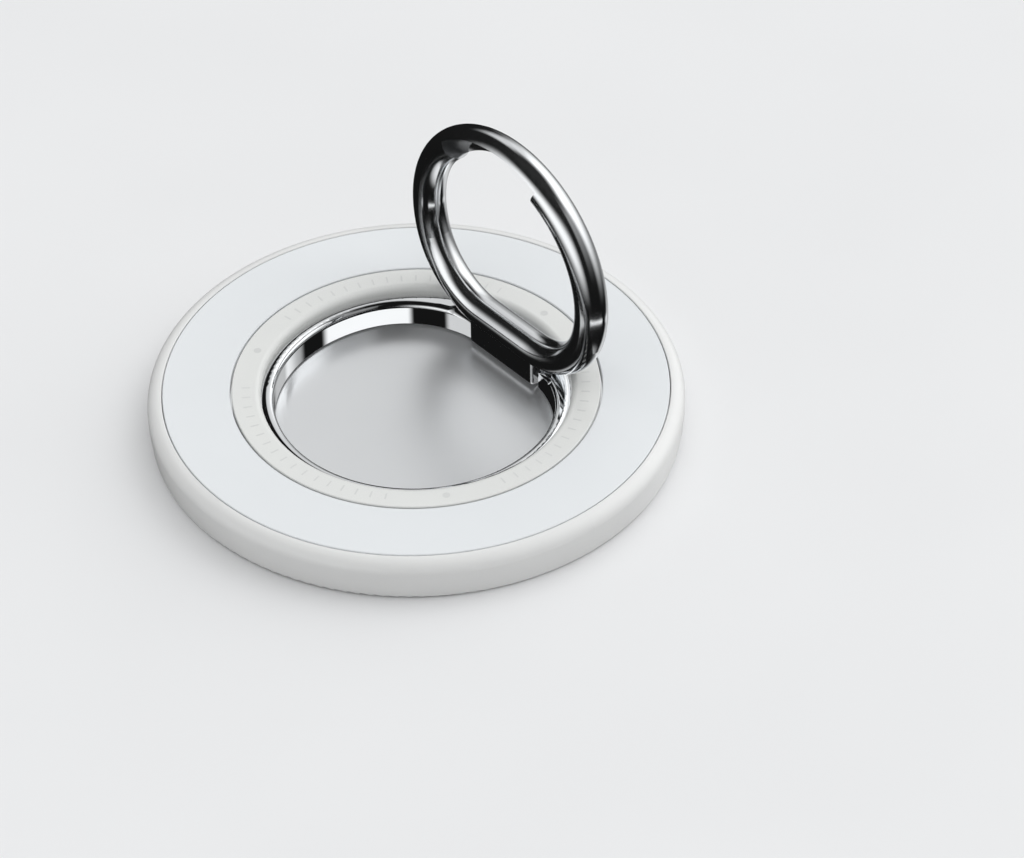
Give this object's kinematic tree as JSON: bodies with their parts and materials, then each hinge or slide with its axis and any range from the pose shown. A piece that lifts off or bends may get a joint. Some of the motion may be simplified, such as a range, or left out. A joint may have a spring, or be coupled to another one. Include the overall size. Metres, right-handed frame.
{
  "type": "magnetic phone ring holder",
  "caption": "Flat round magnetic puck for the back of a phone, with a turntable in its middle and a folding chrome finger ring.",
  "frame": {"origin": "centre of the flat face that touches the phone", "axes": "+Z out of the phone, +X along the hinge pin, +Y from the centre towards the hinge"},
  "size_m": [0.056, 0.056, 0.0299],
  "materials": {
    "satin_white": "satin moulded",
    "cover_white": "smooth satin",
    "band_white": "fine matt",
    "silicone_grey": "matt",
    "satin_grey": "bead blasted",
    "yoke_steel": "rolled",
    "tape": "foam tape",
    "glide_plastic": "natural",
    "bush_black": "moulded",
    "chrome": "mirror",
    "ring_chrome": "mirror",
    "pin_steel": "ground",
    "magnet_nickel": "nickel plated"
  },
  "bodies": {
    "base": {"housing": "satin_white", "contact_pad": "silicone_grey", "base_plate": "satin_grey", "yoke_ring": "yoke_steel", "cover_tape": "tape", "cover_plate": "cover_white", "lower_glide": "glide_plastic", "upper_glide": "glide_plastic", "magnet_01": "magnet_nickel", "magnet_02": "magnet_nickel", "magnet_03": "magnet_nickel", "magnet_04": "magnet_nickel", "magnet_05": "magnet_nickel", "magnet_06": "magnet_nickel", "magnet_07": "magnet_nickel", "magnet_08": "magnet_nickel", "magnet_09": "magnet_nickel", "magnet_10": "magnet_nickel", "magnet_11": "magnet_nickel", "magnet_12": "magnet_nickel", "magnet_13": "magnet_nickel", "magnet_14": "magnet_nickel", "magnet_15": "magnet_nickel", "magnet_16": "magnet_nickel", "magnet_17": "magnet_nickel", "magnet_18": "magnet_nickel"},
    "turntable": {"turntable": "chrome", "trim_band": "band_white", "hinge_pin": "pin_steel", "hinge_bush_left": "bush_black", "hinge_bush_right": "bush_black"},
    "ring": {"finger_ring": "ring_chrome"}
  },
  "joints": [
    {"name": "turntable_spin", "type": "hinge", "parent": "base", "child": "turntable", "pos_m": [0, 0, 0], "axis": [0, 0, 1], "continuous": true},
    {"name": "ring_fold", "type": "hinge", "parent": "turntable", "child": "ring", "pos_m": [0, 0.01268, 0.00262], "axis": [1, 0, 0], "range_deg": [0, 90]}
  ]
}
